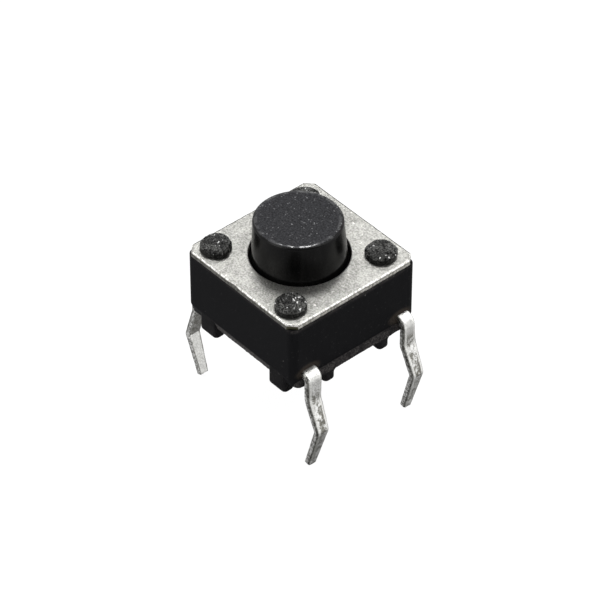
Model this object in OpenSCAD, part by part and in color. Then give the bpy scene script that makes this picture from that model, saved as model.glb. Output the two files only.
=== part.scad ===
// Tactile push button switch: a square moulded base with a staked metal cover, a round plunger
// over a snap dome, and two terminal strips that end in four kinked legs.
// All sizes are in millimetres. Z = 0 is the board that the feet stand on, and +Z is up.
// The legs leave the base on its -X and +X sides.

/* [Base] */
// Width of the base across the two sides that carry the legs
base_x = 6; // [5.8:0.1:7.5]
// Width of the base across the two plain sides
base_y = 6; // [5.8:0.1:7.5]
// Height of the base from the board to the cover plate
base_h = 3.3; // [2.9:0.1:4.2]
// Radius of the upright corners of the base
corner_r = 0.3; // [0.25:0.05:0.5]
// Gap between the underside of the base and the board
stand_off = 0.5; // [0.25:0.05:0.55]
// Height of the rebate under the plain sides
rebate_h = 0.15; // [0.1:0.05:0.3]
// Depth of the rebate in from the plain sides
rebate_w = 0.15; // [0.1:0.05:0.4]
// Height of the plinth along the lower edge of the leg sides
plinth_h = 0.3; // [0.15:0.05:0.35]
// Distance by which the plinth stands out from the leg sides
plinth_out = 0.08; // [0.02:0.01:0.1]

/* [Feet] */
// Width of each foot on the plain sides
plain_foot_w = 0.94; // [0.5:0.02:1]
// Distance of the plain sides' feet from the middle of their pair
plain_foot_at = 1.95; // [1.2:0.05:2.1]
// Width of each foot on the leg sides
leg_foot_w = 0.5; // [0.4:0.05:0.7]
// Distance of the leg sides' feet from the middle of their pair
leg_foot_at = 1.33; // [0.8:0.01:1.6]
// Shift of each pair of feet along its side, the same way round on all four sides
foot_shift = 0.1; // [0:0.02:0.2]
// Depth of a foot from its outer face inwards
foot_depth = 0.5; // [0.3:0.05:0.8]
// Distance of a foot's outer face behind the wall or plinth above it
foot_inset = 0.03; // [0:0.01:0.1]
// Bevel of a foot's upright edges
foot_bevel = 0.08; // [0.02:0.01:0.12]
// Radius of a foot's lower corners
foot_r = 0.15; // [0.05:0.01:0.18]

/* [Cover plate] */
// Width of the plate between the leg sides
plate_x = 5.95; // [5.7:0.05:6.2]
// Width of the plate between the plain sides
plate_y = 6.05; // [5.7:0.05:6.2]
// Thickness of the plate's sheet
plate_t = 0.25; // [0.2:0.05:0.5]
// Length clipped off the plate's sides at each corner
plate_clip = 0.28; // [0.1:0.02:0.5]

/* [Posts] */
// Distance between the staked posts along the plain sides
post_pitch_x = 4.25; // [4.1:0.05:4.5]
// Distance between the staked posts along the leg sides
post_pitch_y = 4.4; // [4.1:0.05:4.5]
// Diameter of a post where it passes the plate
post_d = 0.8; // [0.6:0.05:0.9]
// Gap round a post in its hole in the plate
post_clearance = 0.05; // [0.02:0.01:0.1]
// Diameter of a post's melted head
head_d = 1.2; // [1.1:0.05:1.3]
// Height of a post's melted head above the plate
head_h = 0.3; // [0.2:0.02:0.5]
// Radius of the head's upper edge
head_edge_r = 0.12; // [0.05:0.01:0.18]

/* [Plunger] */
// Diameter of the plunger where it passes the plate
button_d = 3.56; // [3:0.02:3.7]
// Diameter of the plunger's top face, measured before its edge is rounded
button_top_d = 3.38; // [2.8:0.02:3.6]
// Height of the plunger's top above the plate
button_rise = 1.6; // [0.8:0.05:6]
// Radius of the plunger's top edge
button_edge_r = 0.2; // [0.05:0.01:0.3]
// Gap round the plunger in the plate's hole
button_clearance = 0.12; // [0.05:0.01:0.3]
// Width of the plunger's flange under the rim of the plate's hole
flange_lip = 0.2; // [0.12:0.02:0.24]
// Thickness of the flange
flange_t = 0.4; // [0.3:0.05:0.6]
// Gap round the flange in the base
flange_clearance = 0.1; // [0.05:0.01:0.15]
// Diameter of the nub that presses the dome
nub_d = 1.2; // [0.8:0.1:1.6]
// Rest gap between the nub and the dome
nub_gap = 0.02; // [0.01:0.01:0.05]
// Stroke of the plunger until the dome touches the centre contact
travel = 0.25; // [0.15:0.05:0.35]

/* [Dome] */
// Thickness of the dome's sheet
dome_t = 0.07; // [0.05:0.01:0.1]
// Gap round the dome in the base
dome_clearance = 0.15; // [0.1:0.01:0.2]

/* [Terminal strips] */
// Thickness of the strips
strip_t = 0.25; // [0.2:0.01:0.32]
// Width of the strips and of the upper part of the legs
strip_w = 0.65; // [0.5:0.05:0.8]
// Distance between the two strips
strip_pitch = 4.5; // [4.3:0.1:4.6]
// Height of the strips' upper face above the board
strip_top = 1.2; // [1.1:0.05:1.3]
// Thickness of base plastic above the strips in the floor of the cavity
floor_cover = 0.1; // [0.05:0.01:0.15]
// Height of the raised contacts above the strips
contact_rise = 0.15; // [0.15:0.01:0.2]
// Diameter of the centre contact
centre_contact_d = 0.9; // [0.6:0.1:1.1]
// Diameter of each rim contact
rim_contact_d = 0.5; // [0.4:0.05:0.6]
// Distance from the dome's edge in to the middle of a rim contact
rim_land = 0.1; // [0.05:0.01:0.2]
// Width of the arms that carry the contacts
arm_w = 0.5; // [0.4:0.05:0.6]

/* [Legs] */
// Level run of a leg outside the wall before its bend
leg_run = 0.02; // [0.01:0.01:0.3]
// Inner radius of the bend at the wall
bend_r = 0.14; // [0.1:0.02:0.3]
// Slant of a leg outwards, from the flare to the kink
leg_flare = 21; // [5:1:24]
// Radius of the flare, at the middle of the strip
flare_r = 0.8; // [0.4:0.1:1.2]
// Depth of the flare below the board
flare_drop = 0.12; // [0.05:0.01:0.3]
// Slant of a leg inwards, from the kink to the tip
leg_tuck = 18; // [8:1:22]
// Inner radius of the kink
kink_r = 0.1; // [0.05:0.05:0.3]
// Depth of the kink below the board
kink_drop = 1.38; // [1.1:0.02:1.6]
// Width of a leg at the kink
kink_w = 0.56; // [0.45:0.01:0.6]
// Depth of the leg's tip below the board
tip_drop = 3.4; // [2.6:0.1:4]
// Width of the leg's tip
tip_w = 0.38; // [0.25:0.01:0.45]

/* [Hidden] */
$fn = 128;
// Steps in each bend of a leg
bend_steps = 8;
// Steps in each rounded edge of a turned shape
edge_steps = 6;
// Length by which a cutter passes the face that it opens
past = 0.5;

// Plate, plunger, cavity and dome are stacked round one axis
plate_top = base_h + plate_t;
plate_hole_d = button_d + 2 * button_clearance;
flange_d = plate_hole_d + 2 * flange_lip;
cavity_d = flange_d + 2 * flange_clearance;
dome_d = cavity_d - 2 * dome_clearance;
floor_z = strip_top + floor_cover;
contact_z = strip_top + contact_rise;
dome_inner_r = (pow(dome_d / 2, 2) + pow(travel, 2)) / (2 * travel);
nub_z = contact_z + travel + dome_t + nub_gap;
rebate_top = stand_off + rebate_h;
plinth_top = stand_off + plinth_h;
plinth_x = base_x / 2 + plinth_out;
rim_at = (dome_d / 2 - rim_land) * cos(45);
post_hole_d = post_d + 2 * post_clearance;

// Centre line of a leg in X and Z: a bend down at the wall, a flare outwards and a kink inwards.
// A fall is the angle by which the strip has turned down from level.
strip_mid = strip_top - strip_t / 2;
bend_mid_r = bend_r + strip_t / 2;
kink_mid_r = kink_r + strip_t / 2;
flare_fall = 90 - leg_flare;
tuck_fall = 90 + leg_tuck;
bend_centre = [base_x / 2 + leg_run, strip_mid - bend_mid_r];
upright_x = bend_centre.x + bend_mid_r;
flare_centre = [upright_x + flare_r, -flare_drop + flare_r * tan(leg_flare / 2)];
flare_way = [cos(flare_fall), -sin(flare_fall)];
tuck_way = [cos(tuck_fall), -sin(tuck_fall)];
kink_corner = [upright_x, -flare_drop] + flare_way * (kink_drop - flare_drop) / sin(flare_fall);
kink_start = kink_corner - flare_way * kink_mid_r * tan((tuck_fall - flare_fall) / 2);
kink_centre = kink_start - kink_mid_r * [sin(flare_fall), cos(flare_fall)];
kink_end = kink_centre + kink_mid_r * [sin(tuck_fall), cos(tuck_fall)];
tip = kink_end + tuck_way * (kink_end.y + tip_drop) / sin(tuck_fall);
leg_line = concat(
    turn_points(bend_centre, bend_mid_r, 0, 90),
    turn_points(flare_centre, -flare_r, 90, flare_fall),
    turn_points(kink_centre, kink_mid_r, flare_fall, tuck_fall),
    [[tip.x, tip.y, tuck_fall]]
);
leg_span = 2 * (kink_corner.x + strip_t);

// Points [x, z, fall] of a bend about a centre, with a negative radius where it turns upwards
function turn_points(centre, r, from, to) = [
    for (i = [0 : bend_steps])
        let (fall = from + (to - from) * i / bend_steps)
            [centre.x + r * sin(fall), centre.y + r * cos(fall), fall]
];

// Points of a line moved sideways by a distance, to the upper or outer side where it is positive
function beside(line, distance) = [
    for (p = line) [p[0] + distance * sin(p[2]), p[1] + distance * cos(p[2])]
];

function reversed(points) = [for (i = [len(points) - 1 : -1 : 0]) points[i]];

function mirrored(points) = [for (p = points) [-p.x, p.y]];

// Points of a quarter round between an upright wall and a level top, for turned shapes
function edge_round(wall_r, top, r) = [
    for (i = [0 : edge_steps])
        let (a = 90 * i / edge_steps)
            [wall_r - r + r * cos(a), top - r + r * sin(a)]
];

// Rectangle with the base's rounded corners, as seen from above
module rounded_plan(x, y) {
    corner_x = x / 2 - corner_r;
    corner_y = y / 2 - corner_r;
    square([x, 2 * corner_y], center = true);
    square([2 * corner_x, y], center = true);
    for (sx = [-1, 1], sy = [-1, 1])
        translate([sx * corner_x, sy * corner_y]) circle(corner_r);
}

// Solid block of the base: upright walls with rounded corners, on a lower part that is set back
// under the plain sides and stands out as a plinth on the leg sides
module base_block() {
    translate([0, 0, rebate_top])
        linear_extrude(base_h - rebate_top) rounded_plan(base_x, base_y);
    translate([0, 0, stand_off])
        linear_extrude(plinth_h) rounded_plan(2 * plinth_x, base_y - 2 * rebate_w);
}

// Foot with rounded lower corners and bevelled upright edges.
// Its outer face lies on the plane Y = 0, and its depth runs along +Y.
module foot(width, top) {
    half = width / 2;
    intersection() {
        rotate([90, 0, 0])
            mirror([0, 0, 1])
                linear_extrude(foot_depth) {
                    translate([-half, foot_r]) square([width, top - foot_r]);
                    translate([-half + foot_r, 0]) square([width - 2 * foot_r, top]);
                    for (side = [-1, 1])
                        translate([side * (half - foot_r), foot_r]) circle(foot_r);
                }
        linear_extrude(top)
            polygon([
                [-half + foot_bevel, 0],
                [half - foot_bevel, 0],
                [half, foot_bevel],
                [half, foot_depth],
                [-half, foot_depth],
                [-half, foot_bevel]
            ]);
    }
}

module feet() {
    for (turn = [0, 180], side = [-1, 1]) {
        rotate(turn)
            translate([side * plain_foot_at + foot_shift, -base_y / 2 + foot_inset, 0])
                foot(plain_foot_w, rebate_top + foot_r);
        rotate(turn + 90)
            translate([side * leg_foot_at + foot_shift, -plinth_x + foot_inset, 0])
                foot(leg_foot_w, plinth_top);
    }
}

module at_posts() {
    for (sx = [-1, 1], sy = [-1, 1])
        translate([sx * post_pitch_x / 2, sy * post_pitch_y / 2, 0]) children();
}

// Post that passes the plate and ends in a head melted flat on it
module staked_post() {
    rotate_extrude()
        polygon(concat(
            [[0, base_h - past], [post_d / 2, base_h - past], [post_d / 2, plate_top], [head_d / 2, plate_top]],
            edge_round(head_d / 2, plate_top + head_h, head_edge_r),
            [[0, plate_top + head_h]]
        ));
}

module base_housing() {
    color("#1e1e20") {
        difference() {
            union() {
                base_block();
                feet();
            }
            translate([0, 0, floor_z]) cylinder(d = cavity_d, h = base_h);
            centre_insert();
            rim_insert();
        }
        at_posts() staked_post();
    }
}

module cover_plate() {
    half_x = plate_x / 2;
    half_y = plate_y / 2;
    color("#c9c8c2")
        difference() {
            translate([0, 0, base_h])
                linear_extrude(plate_t)
                    polygon([
                        [half_x - plate_clip, -half_y],
                        [half_x, -half_y + plate_clip],
                        [half_x, half_y - plate_clip],
                        [half_x - plate_clip, half_y],
                        [-half_x + plate_clip, half_y],
                        [-half_x, half_y - plate_clip],
                        [-half_x, -half_y + plate_clip],
                        [-half_x + plate_clip, -half_y]
                    ]);
            translate([0, 0, base_h - past]) cylinder(d = plate_hole_d, h = plate_t + 2 * past);
            at_posts() translate([0, 0, base_h - past]) cylinder(d = post_hole_d, h = plate_t + 2 * past);
        }
}

module plunger() {
    color("#2b2b2d")
        rotate_extrude()
            polygon(concat(
                [
                    [0, nub_z],
                    [nub_d / 2, nub_z],
                    [nub_d / 2, base_h - flange_t],
                    [flange_d / 2, base_h - flange_t],
                    [flange_d / 2, base_h],
                    [button_d / 2, base_h],
                    [button_d / 2, plate_top]
                ],
                edge_round(button_top_d / 2, plate_top + button_rise, button_edge_r),
                [[0, plate_top + button_rise]]
            ));
}

// Round cap of thin sheet whose edge stands on the rim contacts
module contact_dome() {
    color("#d8c9a0")
        translate([0, 0, contact_z])
            rotate_extrude()
                intersection() {
                    translate([0, travel - dome_inner_r])
                        difference() {
                            circle(dome_inner_r + dome_t);
                            circle(dome_inner_r);
                        }
                    translate([0, -dome_t]) square([dome_d / 2, travel + 3 * dome_t]);
                }
}

// Strip across the base with a leg at each end: a bent side profile, narrowed towards the tips
module legged_strip() {
    outer = beside(leg_line, strip_t / 2);
    inner = beside(leg_line, -strip_t / 2);
    intersection() {
        rotate([90, 0, 0])
            linear_extrude(strip_w, center = true)
                polygon(concat(
                    mirrored(reversed(outer)),
                    outer,
                    reversed(inner),
                    mirrored(inner)
                ));
        rotate([90, 0, 90])
            linear_extrude(leg_span, center = true)
                polygon([
                    [-strip_w / 2, strip_top + past],
                    [-strip_w / 2, -flare_drop],
                    [-kink_w / 2, -kink_drop],
                    [-tip_w / 2, -tip_drop - strip_t],
                    [tip_w / 2, -tip_drop - strip_t],
                    [kink_w / 2, -kink_drop],
                    [strip_w / 2, -flare_drop],
                    [strip_w / 2, strip_top + past]
                ]);
    }
}

// Flat part of a strip that lies in the floor of the base
module strip_bed() {
    translate([0, 0, strip_mid]) cube([base_x + 2 * past, strip_w, strip_t], center = true);
}

module raised_contact(d) {
    translate([0, 0, strip_top - strip_t]) cylinder(d = d, h = strip_t + contact_rise);
}

// Arm from the strip at Y = -strip_pitch / 2 to the contact in the centre
module centre_arm() {
    translate([-arm_w / 2, -strip_pitch / 2, strip_top - strip_t])
        cube([arm_w, strip_pitch / 2, strip_t]);
    raised_contact(centre_contact_d);
}

// Two arms from the strip at Y = strip_pitch / 2, each with two contacts under the dome's edge
module rim_arms() {
    for (side = [-1, 1]) {
        translate([side * rim_at - arm_w / 2, -rim_at, strip_top - strip_t])
            cube([arm_w, rim_at + strip_pitch / 2, strip_t]);
        for (end = [-1, 1])
            translate([side * rim_at, end * rim_at, 0]) raised_contact(rim_contact_d);
    }
}

module centre_insert() {
    translate([0, -strip_pitch / 2, 0]) strip_bed();
    centre_arm();
}

module rim_insert() {
    translate([0, strip_pitch / 2, 0]) strip_bed();
    rim_arms();
}

module centre_terminal() {
    color("#d4d4d2") {
        translate([0, -strip_pitch / 2, 0]) legged_strip();
        centre_arm();
    }
}

module rim_terminal() {
    color("#d4d4d2") {
        translate([0, strip_pitch / 2, 0]) legged_strip();
        rim_arms();
    }
}

base_housing();
cover_plate();
plunger();
contact_dome();
centre_terminal();
rim_terminal();
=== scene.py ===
"""A square push button switch with a staked metal cover and four kinked, tinned legs.

Sizes are written in millimetres and turned into metres by MM. Z = 0 is the board that the
feet stand on, +Z is up, and the legs leave the base on its -X and +X sides.
"""
import math

import bmesh
import bpy
import numpy as np
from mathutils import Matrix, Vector


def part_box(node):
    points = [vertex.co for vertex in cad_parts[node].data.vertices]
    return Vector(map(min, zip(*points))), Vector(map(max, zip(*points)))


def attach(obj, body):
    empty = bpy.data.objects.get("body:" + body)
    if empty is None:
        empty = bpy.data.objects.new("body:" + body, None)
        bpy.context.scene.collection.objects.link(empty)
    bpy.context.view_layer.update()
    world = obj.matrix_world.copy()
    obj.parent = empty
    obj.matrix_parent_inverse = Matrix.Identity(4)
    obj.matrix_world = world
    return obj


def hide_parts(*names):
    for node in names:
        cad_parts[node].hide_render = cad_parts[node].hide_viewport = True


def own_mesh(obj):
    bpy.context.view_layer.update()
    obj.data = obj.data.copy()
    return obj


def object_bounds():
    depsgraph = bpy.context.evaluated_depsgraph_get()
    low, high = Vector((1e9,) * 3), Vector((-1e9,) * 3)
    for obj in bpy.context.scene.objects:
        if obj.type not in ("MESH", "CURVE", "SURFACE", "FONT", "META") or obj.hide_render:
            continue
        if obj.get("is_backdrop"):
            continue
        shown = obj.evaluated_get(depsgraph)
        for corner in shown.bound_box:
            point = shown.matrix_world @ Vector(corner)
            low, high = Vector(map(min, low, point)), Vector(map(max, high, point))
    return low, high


MM = 0.001
TURN = 2 * math.pi
# Points nearer than this are welded, and a row of points this far from an edge holds it
WELD = 0.0005
HOLD = 0.015

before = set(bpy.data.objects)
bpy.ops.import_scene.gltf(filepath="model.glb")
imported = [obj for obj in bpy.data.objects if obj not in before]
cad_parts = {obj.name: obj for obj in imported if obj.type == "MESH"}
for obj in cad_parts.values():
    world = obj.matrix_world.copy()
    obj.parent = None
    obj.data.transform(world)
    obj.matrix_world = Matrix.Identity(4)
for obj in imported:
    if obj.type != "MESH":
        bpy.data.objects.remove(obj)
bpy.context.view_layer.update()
scene = bpy.context.scene


# Sizes from the frame, in millimetres

def node_box(node):
    """Lowest and highest corner of a CAD node, in millimetres."""
    low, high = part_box(node)
    return np.array(low) / MM, np.array(high) / MM


_, base_high = node_box("base_housing")
plate_low, plate_high = node_box("cover_plate")
button_low, button_high = node_box("plunger")
dome_low, dome_high = node_box("contact_dome")
strip_low, _ = node_box("rim_terminal")

PLINTH_X, WALL_Y = base_high[:2]
BASE_TOP = plate_low[2]
PLATE_HALF = plate_high[:2]
PLATE_TOP = plate_high[2]
BUTTON_TOP = button_high[2]
FLANGE_R = button_high[0]
NUB_Z = button_low[2]
DOME_R = dome_high[0]
CONTACT_Z = dome_low[2]
LEG_TIP_Z = strip_low[2]


# Moulded base

WALL_X = 3.0
CORNER_R = 0.3
STAND_OFF = 0.5
REBATE_W = 0.15
# The plain sides draw in below this height, by this much down to their lower edge
SKIRT_TOP = 0.9
SKIRT_IN = 0.113
# The skirt's speckled band, whose pale speckle is painted light from the floor, runs up to this distance
# from the middle of its side
RAGGED_TO = 2.2
PLINTH_TOP = 0.8
WALL_EDGE_R = 0.05
LOW_EDGE_R = 0.6 * WALL_EDGE_R
FLASH = 0.012
CAVITY_R = 2.2
CAVITY_FLOOR = 1.3

PLAIN_FOOT_W = 0.94
PLAIN_FOOT_AT = 1.95
LEG_FOOT_W = 0.5
LEG_FOOT_AT = 1.33
FOOT_SHIFT = 0.1
FOOT_DEPTH = 0.5
FOOT_INSET = 0.012
FOOT_EDGE_R = 0.15
FOOT_LOW_R = 0.7 * FOOT_EDGE_R
PLAIN_FOOT_FILLET = 0.04
LEG_FOOT_FILLET = 0.2

# Staked posts
POST_R = 0.4
POST_DEPTH = 0.4
HEAD_R = 0.6
HEAD_EDGE_R = 0.14
# Wide and fine unevenness of a head, outwards and upwards
HEAD_SWELL = (0.016, 0.008)
HEAD_LUMPS = (0.022, 0.011)
# Where each melted head lies and how high it stands, left, front, right and back
HEADS = ((-2.2, -2.22, 0.3), (2.06, -2.28, 0.28), (2.04, 2.13, 0.29), (-2.22, 2.08, 0.2))

# Cover plate
PLATE_HOLE_R = 1.9
PLATE_HOLE_AT = (-0.03, -0.034)
PLATE_CLIP = 0.3
PLATE_EDGE_R = 0.07
HOLE_EDGE_R = 0.05
BURR = 0.02
EDGE_LUMP = 0.004
EDGE_DRAW = 0.004
DENT_AT = (-0.25, -3.025)
DENT_R = 0.24
DENT_DEPTH = 0.07

# Button
BUTTON_R = 1.78
BUTTON_TOP_R = 1.69
# From the top outwards the upper edge bends slowly at first and then tightly, between these angles
BUTTON_SLOW_R = 0.62
BUTTON_TIGHT_R = 0.11
BUTTON_SLOW_TO = 77
BUTTON_TIGHT_TO = 2
FLANGE_T = 0.4
NUB_R = 0.6
# Where a loose button stands in its hole, and the sideways lean of its top
BUTTON_AT = (-0.036, -0.042)
BUTTON_LEAN = (-0.03, -0.035)

DOME_RISE = 0.25
DOME_T = 0.07

# Terminal strips
STRIP_T = 0.25
STRIP_W = 0.65
BEND_W = 0.7
STRIP_Y = 2.25
STRIP_TOP = 1.2
ARM_W = 0.5
CENTRE_CONTACT_R = 0.45
RIM_CONTACT_R = 0.25
# Half width and half height of the brownish plastic round a strip, and its middle below the top
COLLAR = (0.45, 0.24)
COLLAR_DROP = 0.08
RIM_AT = (DOME_R - 0.1) * math.cos(math.radians(45))

# Legs
BEND_R = 0.265
FLARE_R = 0.8
KINK_R = 0.15
LEG_BEND_X = 3.02
FLARE_DROP = 0.12
KINK_W = 0.56
TIP_W = 0.38
# Height of the creased kinks, and the place of a scratch that runs down to one
CREASE_Z = -1.4
SCRATCH_Y = 2.56
SCRATCH_TOP = -0.7
LEG_ROUGH = 0.003


# Surfaces worked out as whole arrays

def arc(centre_a, centre_b, radius, start, end, steps):
    """Points of a circle's arc in a plane: centre plus radius times (cosine, sine) of the angle."""
    angle = np.radians(np.linspace(start, end, steps + 1))
    return np.column_stack((centre_a + radius * np.cos(angle), centre_b + radius * np.sin(angle)))


def chain(*stretches):
    """One list of profile points out of single points and arcs."""
    return np.concatenate([np.atleast_2d(np.asarray(stretch, float)) for stretch in stretches])


def waves(points, size, seed, count=24):
    """Smooth lumps between about -1 and 1: the mean of sine waves that run in all directions
    through the points, each with a length near the given size and a phase of its own."""
    draw = np.random.default_rng(seed)
    way = draw.normal(size=(count, points.shape[-1]))
    way /= np.linalg.norm(way, axis=1, keepdims=True)
    turns = TURN / (size * draw.uniform(0.7, 1.6, count))
    phase = draw.uniform(0, TURN, count)
    return np.sin((points @ way.T) * turns + phase).sum(-1) / math.sqrt(count)


def rounded_outline(half_x, half_y, radius, side_steps=24, corner_steps=10):
    """Rounded rectangle from above, with the outward direction at each point: four quarter
    circles, joined by sides that are cut into even steps."""
    corner = np.array([half_x - radius, half_y - radius])
    signs = np.array([(1, 1), (-1, 1), (-1, -1), (1, -1)])
    quarter = np.radians(np.linspace(0, 90, corner_steps + 1))
    angle = quarter[None] + np.radians([[0], [90], [180], [270]])
    way = np.stack((np.cos(angle), np.sin(angle)), -1)
    bends = (signs * corner)[:, None] + radius * way
    share = np.linspace(0, 1, side_steps + 1)[1:-1, None]
    start, end = bends[:, -1], np.roll(bends[:, 0], -1, axis=0)
    sides = start[:, None] + share * (end - start)[:, None]
    side_way = np.repeat(way[:, -1:], side_steps - 1, axis=1)
    points = np.concatenate((bends, sides), axis=1).reshape(-1, 2)
    return points, np.concatenate((way, side_way), axis=1).reshape(-1, 2)


def quads(rows, columns, wrap_rows):
    """Corner numbers of the faces of a grid of points that is numbered row by row. Each row is
    closed, and where asked the last row joins the first."""
    row = np.arange(rows if wrap_rows else rows - 1)[:, None]
    column = np.arange(columns)[None]
    next_row, next_column = (row + 1) % rows, (column + 1) % columns
    corners = (row * columns + column, row * columns + next_column,
               next_row * columns + next_column, next_row * columns + column)
    return np.stack(corners, -1).reshape(-1, 4)


def grid(points, zone, wrap_rows=False):
    """A patch: the points of a grid, its faces, and the zone value that its material reads."""
    rows, columns = points.shape[:2]
    zone = np.broadcast_to(zone, (rows, columns))
    return points.reshape(-1, 3), quads(rows, columns, wrap_rows), zone.reshape(-1)


def carried(outline, way, profile, zone):
    """A profile of (inset, height) carried round an outline: each ring is the outline moved
    inwards by the inset, at the profile's height."""
    flat = outline[None] - profile[:, None, :1] * way[None]
    height = np.broadcast_to(profile[:, None, 1:], flat.shape[:2] + (1,))
    return grid(np.concatenate((flat, height), -1), np.asarray(zone)[:, None])


def spread(outline, height, target, shares, zone):
    """A level face between an outline and a target outline, ring by ring at the given shares."""
    share = np.asarray(shares)[:, None, None]
    flat = outline[None] * (1 - share) + target[None] * share
    level = np.full(flat.shape[:2] + (1,), height)
    return grid(np.concatenate((flat, level), -1), zone)


def turned(profile, steps, zone, centre=(0, 0)):
    """A turned shape: a profile of (radius, height) swept round an upright axis."""
    angle = np.linspace(0, TURN, steps, endpoint=False)[None]
    radius, height = profile[:, :1], profile[:, 1:]
    points = np.stack((centre[0] + radius * np.cos(angle), centre[1] + radius * np.sin(angle),
                       height + 0 * angle), -1)
    return grid(points, np.asarray(zone)[..., None] if np.ndim(zone) else zone)


def moved(patch, offset=(0, 0, 0), quarter_turns=0):
    """A patch turned about the upright axis by quarter turns, then moved."""
    points, faces, zone = patch
    angle = quarter_turns * TURN / 4
    cosine, sine = math.cos(angle), math.sin(angle)
    turn = np.array([[cosine, sine, 0], [-sine, cosine, 0], [0, 0, 1]])
    return points @ turn + np.asarray(offset, float), faces, zone


def new_object(name, data):
    """An object placed in the scene."""
    made = bpy.data.objects.new(name, data)
    scene.collection.objects.link(made)
    return made


def piece(name, patches, material, body, node):
    """One mesh out of patches, in metres, welded at its seams and poles, with faces outwards.
    It rides on a body, takes the given material and stands for a CAD node, which it hides."""
    starts = np.cumsum([0] + [len(points) for points, _, _ in patches[:-1]])
    points = np.concatenate([patch[0] for patch in patches]) * MM
    faces = np.concatenate([patch[1] + start for patch, start in zip(patches, starts)])
    zones = np.concatenate([patch[2] for patch in patches])
    mesh = bpy.data.meshes.new(name)
    mesh.from_pydata(points.tolist(), [], faces.tolist())
    mesh.attributes.new("zone", "FLOAT", "POINT").data.foreach_set("value", zones.astype(np.float32))
    shell = bmesh.new()
    shell.from_mesh(mesh)
    bmesh.ops.remove_doubles(shell, verts=shell.verts, dist=WELD * MM)
    bmesh.ops.recalc_face_normals(shell, faces=shell.faces)
    for face in shell.faces:
        face.smooth = True
    shell.to_mesh(mesh)
    shell.free()
    mesh.materials.append(material)
    made = new_object(name, mesh)
    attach(made, body)
    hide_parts(node)
    return made


# Materials

def join(tree, made, **inputs):
    """Sets a shader node's own inputs to constants or joins them to outputs. An input goes by its
    name, or by the letter i and its number."""
    for key, value in inputs.items():
        numbered = key[0] == "i" and key[1:].isdigit()
        socket = made.inputs[int(key[1:]) if numbered else key.replace("_", " ")]
        if isinstance(value, bpy.types.NodeSocket):
            tree.links.new(value, socket)
        else:
            socket.default_value = value


def add(tree, kind, settings=None, **inputs):
    """A new shader node, by the last words of its type, with its settings and inputs."""
    made = tree.nodes.new("ShaderNode" + kind)
    for key, value in (settings or {}).items():
        setattr(made, key, value)
    join(tree, made, **inputs)
    return made


def math_node(tree, operation, *values, clamp=False):
    """One step of arithmetic on values or outputs."""
    inputs = {f"i{place}": value for place, value in enumerate(values)}
    settings = {"operation": operation, "use_clamp": clamp}
    return add(tree, "Math", settings, **inputs).outputs[0]


def times(tree, first, second, clamp=False):
    """The product of two values or outputs."""
    return math_node(tree, "MULTIPLY", first, second, clamp=clamp)


def plus(tree, first, second, clamp=False):
    """The sum of two values or outputs."""
    return math_node(tree, "ADD", first, second, clamp=clamp)


def most(tree, first, second):
    """The larger of two values or outputs."""
    return math_node(tree, "MAXIMUM", first, second)


def weighed(tree, first, second, share):
    """A share of the first value and the rest of the second."""
    return plus(tree, times(tree, first, share), times(tree, second, 1 - share))


def vector_node(tree, operation, output, **inputs):
    """One step of vector arithmetic. Output 0 is a vector and output 1 a value."""
    return add(tree, "VectorMath", {"operation": operation}, **inputs).outputs[output]


def band(tree, value, low, high, to_low=0.0, to_high=1.0):
    """A value mapped from one range to another, smoothly, and held at the ends."""
    return add(tree, "MapRange", {"interpolation_type": "SMOOTHSTEP"}, Value=value,
               From_Min=low, From_Max=high, To_Min=to_low, To_Max=to_high).outputs["Result"]


def blend(tree, share, first, second):
    """A colour between two colours."""
    return add(tree, "Mix", {"data_type": "RGBA"}, i0=share, i6=first, i7=second).outputs[2]


def shader_group(name, outputs, **numbers):
    """A new node group that takes a place and named numbers and puts out values. One number is
    the size in millimetres, and the group starts with how often that goes into a metre."""
    group = bpy.data.node_groups.new(name, "ShaderNodeTree")
    group.interface.new_socket("Place", in_out="INPUT", socket_type="NodeSocketVector")
    for label, value in numbers.items():
        socket = group.interface.new_socket(label, in_out="INPUT", socket_type="NodeSocketFloat")
        socket.default_value = value
    for label in outputs:
        group.interface.new_socket(label, in_out="OUTPUT", socket_type="NodeSocketFloat")
    given = group.nodes.new("NodeGroupInput").outputs
    put = group.nodes.new("NodeGroupOutput").inputs
    return group, given, put, math_node(group, "DIVIDE", 1 / MM, given["Size"])


def grain_group():
    """Fine grain: a mix of noise at one size and, by the share of Fineness, at a third of it."""
    group, given, put, per_metre = shader_group(
        "fine_grain", ("Shade", "Height"), Size=0.06, Sharpness=0.2, Fineness=0.35)
    coarse = add(group, "TexNoise", Vector=given["Place"], Scale=per_metre, Detail=1.0)
    triple = times(group, per_metre, 3.1)
    fine = add(group, "TexNoise", Vector=given["Place"], Scale=triple, Detail=1.0)
    height = add(group, "Mix", Factor=given["Fineness"], A=coarse.outputs[0],
                 B=fine.outputs[0]).outputs[0]
    low = math_node(group, "SUBTRACT", 0.5, given["Sharpness"])
    high = plus(group, 0.5, given["Sharpness"])
    group.links.new(height, put["Height"])
    group.links.new(band(group, height, low, high), put["Shade"])
    return group


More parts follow.
